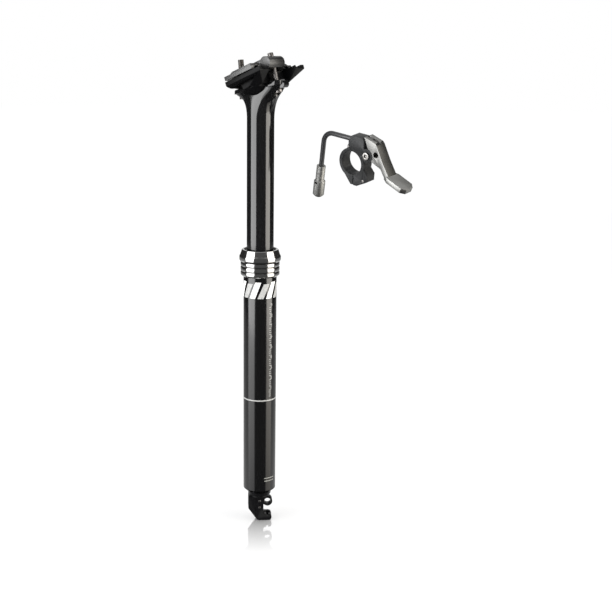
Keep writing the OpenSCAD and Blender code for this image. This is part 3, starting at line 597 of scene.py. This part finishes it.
def thread_group():
    """A thin wire swept along a spiral."""
    group, given = node_group("thread", {label: "NodeSocketFloat"
                                         for label in ("Turns", "Length", "Radius", "Wire")})
    spiral = add_node(group, "GeometryNodeCurveSpiral", {
        "Rotations": (given, "Turns"), "Start Radius": (given, "Radius"), "End Radius": (given, "Radius"),
        "Height": (given, "Length")}, Resolution=24)
    wire = add_node(group, "GeometryNodeCurvePrimitiveCircle", {"Radius": (given, "Wire")}, Resolution=6)
    sweep = add_node(group, "GeometryNodeCurveToMesh", {"Curve": (spiral, 0), "Profile Curve": (wire, 0)})
    return finish_group(group, sweep, THREAD_STEEL)


def marks_group():
    """Copies of the given marks, one above another."""
    group, given = node_group("marks up the tube", {"Count": "NodeSocketInt", "Step": "NodeSocketFloat"})
    climb = add_node(group, "ShaderNodeCombineXYZ", {"Z": (given, "Step")})
    line = add_node(group, "GeometryNodeMeshLine", {"Count": (given, "Count"), "Offset": (climb, 0)})
    copies = add_node(group, "GeometryNodeInstanceOnPoints",
                      {"Points": (line, 0), "Instance": (given, "Geometry")})
    return finish_group(group, copies, PRINT_SILVER)


THREAD_START, THREAD_END, THREAD_PITCH, THREAD_SINK, THREAD_WIRE = 6.2, 0.4, 0.8, 0.12, 0.3
THREADS = thread_group()


def bolt_thread(label, seat, nut, over):
    """Thread turns on the end of a clamp bolt that stands over its nut."""
    length = over - THREAD_START - THREAD_END
    piece = grow(label + "_bolt_thread", bpy.data.meshes.new(label + " thread"), THREADS, {
        "Turns": length / THREAD_PITCH, "Length": length * MM, "Radius": (BOLT_R - THREAD_SINK) * MM,
        "Wire": THREAD_WIRE * MM})
    along = Vector((nut[0] - seat[0], nut[1] - seat[1])).length + THREAD_START
    piece.data.transform(bolt_frame(seat, nut) @ placed(0, along))
    finish_piece(piece, THREAD_STEEL, BODY_OF[label + "_bolt"], "plain_steel")


bolt_thread("front", FRONT_SEAT, FRONT_NUT, FRONT_BOLT_OVER)
bolt_thread("rear", REAR_SEAT, REAR_NUT, REAR_BOLT_OVER)


# prints on the lower tube: angles round it in degrees, sizes in millimetres
BARS_SIDE, SCALE_SIDE, FIGURE_TURN, FOOT_SIDE, LIFT = 130.0, 170.5, 5.0, 170.0, 0.03
FIRST_MARK, MARK_STEP, CENTIMETRES, FIGURE_SIZE = 12.0, 10.0, 9, 4.6
TICK_W, TICK_H, TICKS, TICK_DROP = 2.2, 0.45, (2, 4, 6, 8), 0.22
RING_HALF, RING_SINK = 0.55, 0.05
FOOT_LINES, FOOT_LINE_W, FOOT_LINE_H = (-78.2, -81.0), 11.0, 0.8
BAR_W, BAR_H, BAR_LEAN, BAR_GAP, BARS, BAR_Z, GREY_BAR_DROP = 5.6, 15.5, 6.0, 2.4, 6, 98.5, 1.6


def laid(bm, angle, z, cut=0.7):
    """Wraps a flat bmesh, in millimetres, on the tube at an angle and a height."""
    off_corners = 0.013
    reach = max(abs(v.co.x) for v in bm.verts)
    steps = int(reach / cut) + 1
    for k in range(-steps, steps + 1):
        bmesh.ops.bisect_plane(bm, geom=bm.verts[:] + bm.edges[:] + bm.faces[:],
                               plane_co=(k * cut + off_corners, 0, 0), plane_no=(1, 0, 0))
    for v in bm.verts:
        a, r = math.radians(angle) + v.co.x / TUBE_R, TUBE_R + LIFT
        v.co = Vector((math.cos(a) * r, math.sin(a) * r, z + v.co.y)) * MM
    bm.normal_update()
    for f in bm.faces:
        c = f.calc_center_median()
        if f.normal.x * c.x + f.normal.y * c.y < 0:
            f.normal_flip()
    return bm


def patch(*outlines):
    """Flat outlines of (along, up) in millimetres."""
    bm = bmesh.new()
    for outline in outlines:
        bm.faces.new([bm.verts.new((u, v, 0)) for u, v in outline])
    return bm


def bar(width, height, lean=0.0, at=0.0, up=0.0):
    """The outline of one upright or leaning bar."""
    left, right = at - width / 2, at + width / 2
    return [(left, up), (right, up), (right + lean, up + height), (left + lean, up + height)]


def figure(text):
    """A flat bmesh of a number, in millimetres."""
    letter = bpy.data.curves.new("scale figure", "FONT")
    letter.body, letter.size, letter.align_x, letter.align_y = text, FIGURE_SIZE, "CENTER", "CENTER"
    sign = in_scene("scale figure", letter)
    flat = bmesh.new()
    flat.from_mesh(bpy.data.meshes.new_from_object(sign))
    bpy.data.objects.remove(sign)
    return flat


def ink(name, bm, material):
    new_piece(name, bm, material, "base", "turned_aluminium")


def centimetre_scale():
    """Ticks between the centimetres, and a plain number at each."""
    ticks = laid(patch(*[bar(TICK_W, TICK_H, up=k) for k in TICKS]), SCALE_SIDE,
                 FIRST_MARK - MARK_STEP - TICK_DROP)
    scale = grow("scale_ticks", to_mesh("ticks", ticks), marks_group(),
                 {"Count": CENTIMETRES, "Step": MARK_STEP * MM})
    finish_piece(scale, PRINT_SILVER, "base", "turned_aluminium")
    for k in range(CENTIMETRES):
        ink(f"scale_figure_{k + 1}",
            laid(figure(str(k + 1)), SCALE_SIDE + FIGURE_TURN, FIRST_MARK + MARK_STEP * k), PRINT_SILVER)


def insertion_ring():
    """The ring that marks the least insertion."""
    inner, outer = TUBE_R - RING_SINK, TUBE_R + LIFT
    ring = [(inner, -RING_HALF), (outer, -RING_HALF), (outer, RING_HALF), (inner, RING_HALF)]
    ink("insertion_ring", lathe(ring), PRINT_SILVER)


def leaning_bars():
    """A plain row of leaning bars under the collar, light and grey in turn."""
    for k in range(BARS):
        at = (k - (BARS - 1) / 2) * (BAR_W + BAR_GAP) - BAR_LEAN / 2
        grey = k % 2
        outline = bar(BAR_W, BAR_H - GREY_BAR_DROP * grey, BAR_LEAN, at)
        material = PRINT_SILVER if grey else PRINT_WHITE
        ink(f"leaning_bar_{k + 1}", laid(patch(outline), BARS_SIDE, BAR_Z), material)


centimetre_scale()
insertion_ring()
for k, z in enumerate(FOOT_LINES):
    ink(f"foot_line_{k + 1}", laid(patch(bar(FOOT_LINE_W, FOOT_LINE_H)), FOOT_SIDE, z), PRINT_GREY)
leaning_bars()


# bent cable guide of the remote
GUIDE_R, GUIDE_X, GUIDE_Z, GUIDE_RUN = 2.3, -4.0, 20.5, 22.8
GUIDE_BEND, GUIDE_DROP, GUIDE_LEAN, GUIDE_STEPS = 11.0, 30.5, math.radians(6), 16


def guide_route():
    """The guide's middle line: out of the body, round its bend and down its leaning leg."""
    x, z = GUIDE_X - GUIDE_RUN, GUIDE_Z - GUIDE_BEND
    sweep = math.pi / 2 - GUIDE_LEAN
    turns = [math.pi / 2 + sweep * k / GUIDE_STEPS for k in range(GUIDE_STEPS + 1)]
    bend = [(x + GUIDE_BEND * math.cos(a), z + GUIDE_BEND * math.sin(a)) for a in turns]
    leg = bend[-1][0] - GUIDE_DROP * math.sin(GUIDE_LEAN), bend[-1][1] - GUIDE_DROP * math.cos(GUIDE_LEAN)
    return [in_remote(*q) for q in [(GUIDE_X, GUIDE_Z)] + bend + [leg]]


def rings_on(route, r, sides=32):
    """Rings of a round bar along a flat route of points."""
    side = (route[1] - route[0]).cross(route[-1] - route[0]).normalized()
    angles = [2 * math.pi * k / sides for k in range(sides)]
    for i, p in enumerate(route):
        ahead = (route[min(i + 1, len(route) - 1)] - route[max(i - 1, 0)]).normalized()
        other = ahead.cross(side)
        yield [p + (side * math.cos(a) + other * math.sin(a)) * r for a in angles]


new_piece("cable_guide_bent", skin(rings_on(guide_route(), GUIDE_R)), FINISH["black_pipe"],
          BODY_OF["cable_guide"], "black_pipe", ["cable_guide"])


# camera, in metres from the post's origin
LENS, SENSOR, PITCH, ROLL = 72.1, 36.0, math.radians(13.02), math.radians(0.7)
EYE_AWAY, EYE_RIGHT, EYE_UP = 1.121, 0.0432, 0.3482


def photo_camera():
    """The camera at the photograph's place and angle."""
    camera = bpy.data.cameras.new("camera")
    camera.lens, camera.sensor_width = LENS, SENSOR
    camera.clip_start, camera.clip_end = 0.05, 50
    eye = in_scene("camera", camera)
    ahead = -TO_CAMERA * math.cos(PITCH) - Vector((0, 0, math.sin(PITCH)))
    turn = Matrix((RIGHT, RIGHT.cross(ahead), -ahead)).transposed().to_4x4()
    place = TO_CAMERA * EYE_AWAY + RIGHT * EYE_RIGHT + Vector((0, 0, EYE_UP))
    eye.matrix_world = Matrix.Translation(place) @ turn @ Matrix.Rotation(ROLL, 4, "Z")
    bpy.context.scene.camera = eye


photo_camera()


# light: azimuths are measured from the camera, to the right, in degrees, and lengths are in metres
WHITE, WARM = (1, 1, 1), (1.0, 0.95, 0.87)
BOX_AWAY, BOX_HEIGHT, BOX_TALL = 1.3, 0.58, 1.4
NEAR_CARD, FAR_CARD, UNDER, OVER = 1.3, 2.2, -1.6, 2.4
LOW_BOTTOM, LOW_TOP, MIDDLE = -0.95, -0.12, -0.25


def around(azimuth, distance):
    """A point level with the post's origin, at an azimuth and a distance."""
    a = math.radians(azimuth)
    return (TO_CAMERA * math.cos(a) + RIGHT * math.sin(a)) * distance


def softbox(name, azimuth, width, power, color):
    """An upright soft light that faces the post."""
    lamp = bpy.data.lights.new(name, "AREA")
    lamp.shape, lamp.size, lamp.size_y = "RECTANGLE", width, BOX_TALL
    lamp.energy, lamp.color = power, color
    at = around(azimuth, BOX_AWAY)
    facing = (-at).to_track_quat("-Z", "Y").to_matrix().to_4x4()
    in_scene(name, lamp).matrix_world = Matrix.Translation(at + Vector((0, 0, BOX_HEIGHT))) @ facing


def card(name, start, end, distance, low, high, dim, bright, color=WHITE):
    """A card round part of the stage: its glow goes from dim, low down, to bright."""
    bm = bmesh.new()
    steps = 12
    rows = []
    for i in range(steps + 1):
        p = around(start + (end - start) * i / steps, distance)
        rows.append((bm.verts.new((p.x, p.y, low)), bm.verts.new((p.x, p.y, high))))
    for one, two in zip(rows, rows[1:]):
        bm.faces.new((one[0], two[0], two[1], one[1]))
    glowing_card(name, bm, low, high, dim, bright, color)


def glowing_card(name, bm, low, high, dim, bright, color=WHITE):
    """A card that is seen only in reflections."""
    mat = shader(name, (0.004, 0.004, 0.004), 0.0, 1.0)
    coord = node(mat, "ShaderNodeTexCoord")
    up = node(mat, "ShaderNodeSeparateXYZ", {"Vector": (coord, "Object")})
    level = node(mat, "ShaderNodeMapRange", {"Value": (up, "Z")},
                 **{"From Min": low, "From Max": high, "To Min": dim, "To Max": bright})
    surface(mat, node(mat, "ShaderNodeEmission", {"Strength": (level, "Result")}, Color=(*color, 1)))
    piece = in_scene(name, to_mesh(name, bm))
    piece.data.materials.append(mat)
    piece.visible_camera = piece.visible_diffuse = False
    piece.visible_shadow = piece.visible_transmission = False


def side_cards(side, name, near, far, color):
    """One side's cards: a light one under its softbox, and dim ones on to the back."""
    past, back, end = side * (far + 2), side * 106, 168
    card(name + " low card", side * near, side * far, NEAR_CARD, LOW_BOTTOM, LOW_TOP, 0.6, 3.8, color)
    card(name + " gap card", past, back, FAR_CARD, MIDDLE, OVER, 0.06, 0.06)
    card(name + " low gap card", past, back, FAR_CARD, UNDER, MIDDLE, 1.5, 0.35)
    card(name + " back card", back, side * end, FAR_CARD, MIDDLE, OVER, 0.05, 0.05)
    card(name + " rim card", back, side * (end + 10), FAR_CARD, UNDER, MIDDLE, 1.3, 0.35)


def under_card():
    """A dim round card below everything."""
    bm = bmesh.new()
    bmesh.ops.create_circle(bm, cap_ends=True, segments=48, radius=FAR_CARD + 0.1,
                            matrix=Matrix.Translation((0, 0, UNDER)))
    glowing_card("under card", bm, UNDER - 1, UNDER, 0.05, 0.05)


softbox("left softbox", -59, 1.2, 33, WHITE)
softbox("right softbox", 70, 1.0, 26, WARM)
card("front card", -33, 48, FAR_CARD, UNDER, OVER, 0.13, 0.18)
side_cards(-1, "left", 36, 84, WHITE)
side_cards(1, "right", 50, 90, WARM)
under_card()


def studio_world():
    """White where the camera, a reflection or a clear part looks, and plain light elsewhere."""
    world = bpy.data.worlds.new("studio")
    bpy.context.scene.world = world
    world.use_nodes = True
    world.node_tree.nodes.clear()
    path = node(world, "ShaderNodeLightPath")
    seen = node(world, "ShaderNodeMath", {0: (path, "Is Camera Ray"), 1: (path, "Is Glossy Ray")},
                operation="MAXIMUM")
    clear = node(world, "ShaderNodeMath", {0: (seen, 0), 1: (path, "Is Transmission Ray")},
                 operation="MAXIMUM")
    light = node(world, "ShaderNodeBackground", Color=(0.97, 0.98, 1, 1), Strength=1.2)
    white = node(world, "ShaderNodeBackground", Color=(1, 1, 1, 1), Strength=1.0)
    mix = node(world, "ShaderNodeMixShader", {"Fac": (clear, 0), 1: (light, 0), 2: (white, 0)})
    node(world, "ShaderNodeOutputWorld", {"Surface": (mix, 0)})


FLOOR_R, FLOOR_DROP, FLOOR_LIFT = 6.0, 0.0005, 0.78
MIRROR_REACH, MIRROR_SHARE, MIRROR_BLUR = 0.095, 0.98, 0.06


def floor_paper():
    """White that keeps the shadow, and mirrors the foot close by."""
    paper = shader("floor white", (0.9, 0.9, 0.9), 0.0, 0.6)
    coord = node(paper, "ShaderNodeTexCoord")
    away = node(paper, "ShaderNodeVectorMath", {0: (coord, "Object")}, operation="LENGTH")
    fade = node(paper, "ShaderNodeMapRange", {"Value": (away, "Value")},
                **{"From Max": MIRROR_REACH, "To Min": MIRROR_SHARE, "To Max": 0.0})
    glow = node(paper, "ShaderNodeEmission", Strength=1.0)
    gloss = node(paper, "ShaderNodeBsdfGlossy", Roughness=MIRROR_BLUR)
    mirror = node(paper, "ShaderNodeMixShader", {"Fac": (fade, "Result"), 1: (glow, 0), 2: (gloss, 0)})
    path = node(paper, "ShaderNodeLightPath")
    share = node(paper, "ShaderNodeMath", {0: (path, "Is Camera Ray")}, operation="MULTIPLY")
    share.inputs[1].default_value = FLOOR_LIFT
    shaded = paper.node_tree.nodes["Principled BSDF"]
    surface(paper, node(paper, "ShaderNodeMixShader", {"Fac": (share, 0), 1: (shaded, 0), 2: (mirror, 0)}))
    return paper


def white_floor():
    """The floor, just under the foot."""
    bm = bmesh.new()
    bmesh.ops.create_circle(bm, cap_ends=True, segments=96, radius=FLOOR_R)
    floor = in_scene("floor", to_mesh("floor", bm))
    floor.location.z = FOOT_Z * MM - FLOOR_DROP
    floor.data.materials.append(floor_paper())
    floor.visible_glossy = False


studio_world()
white_floor()

bpy.context.scene.view_settings.view_transform = "Standard"
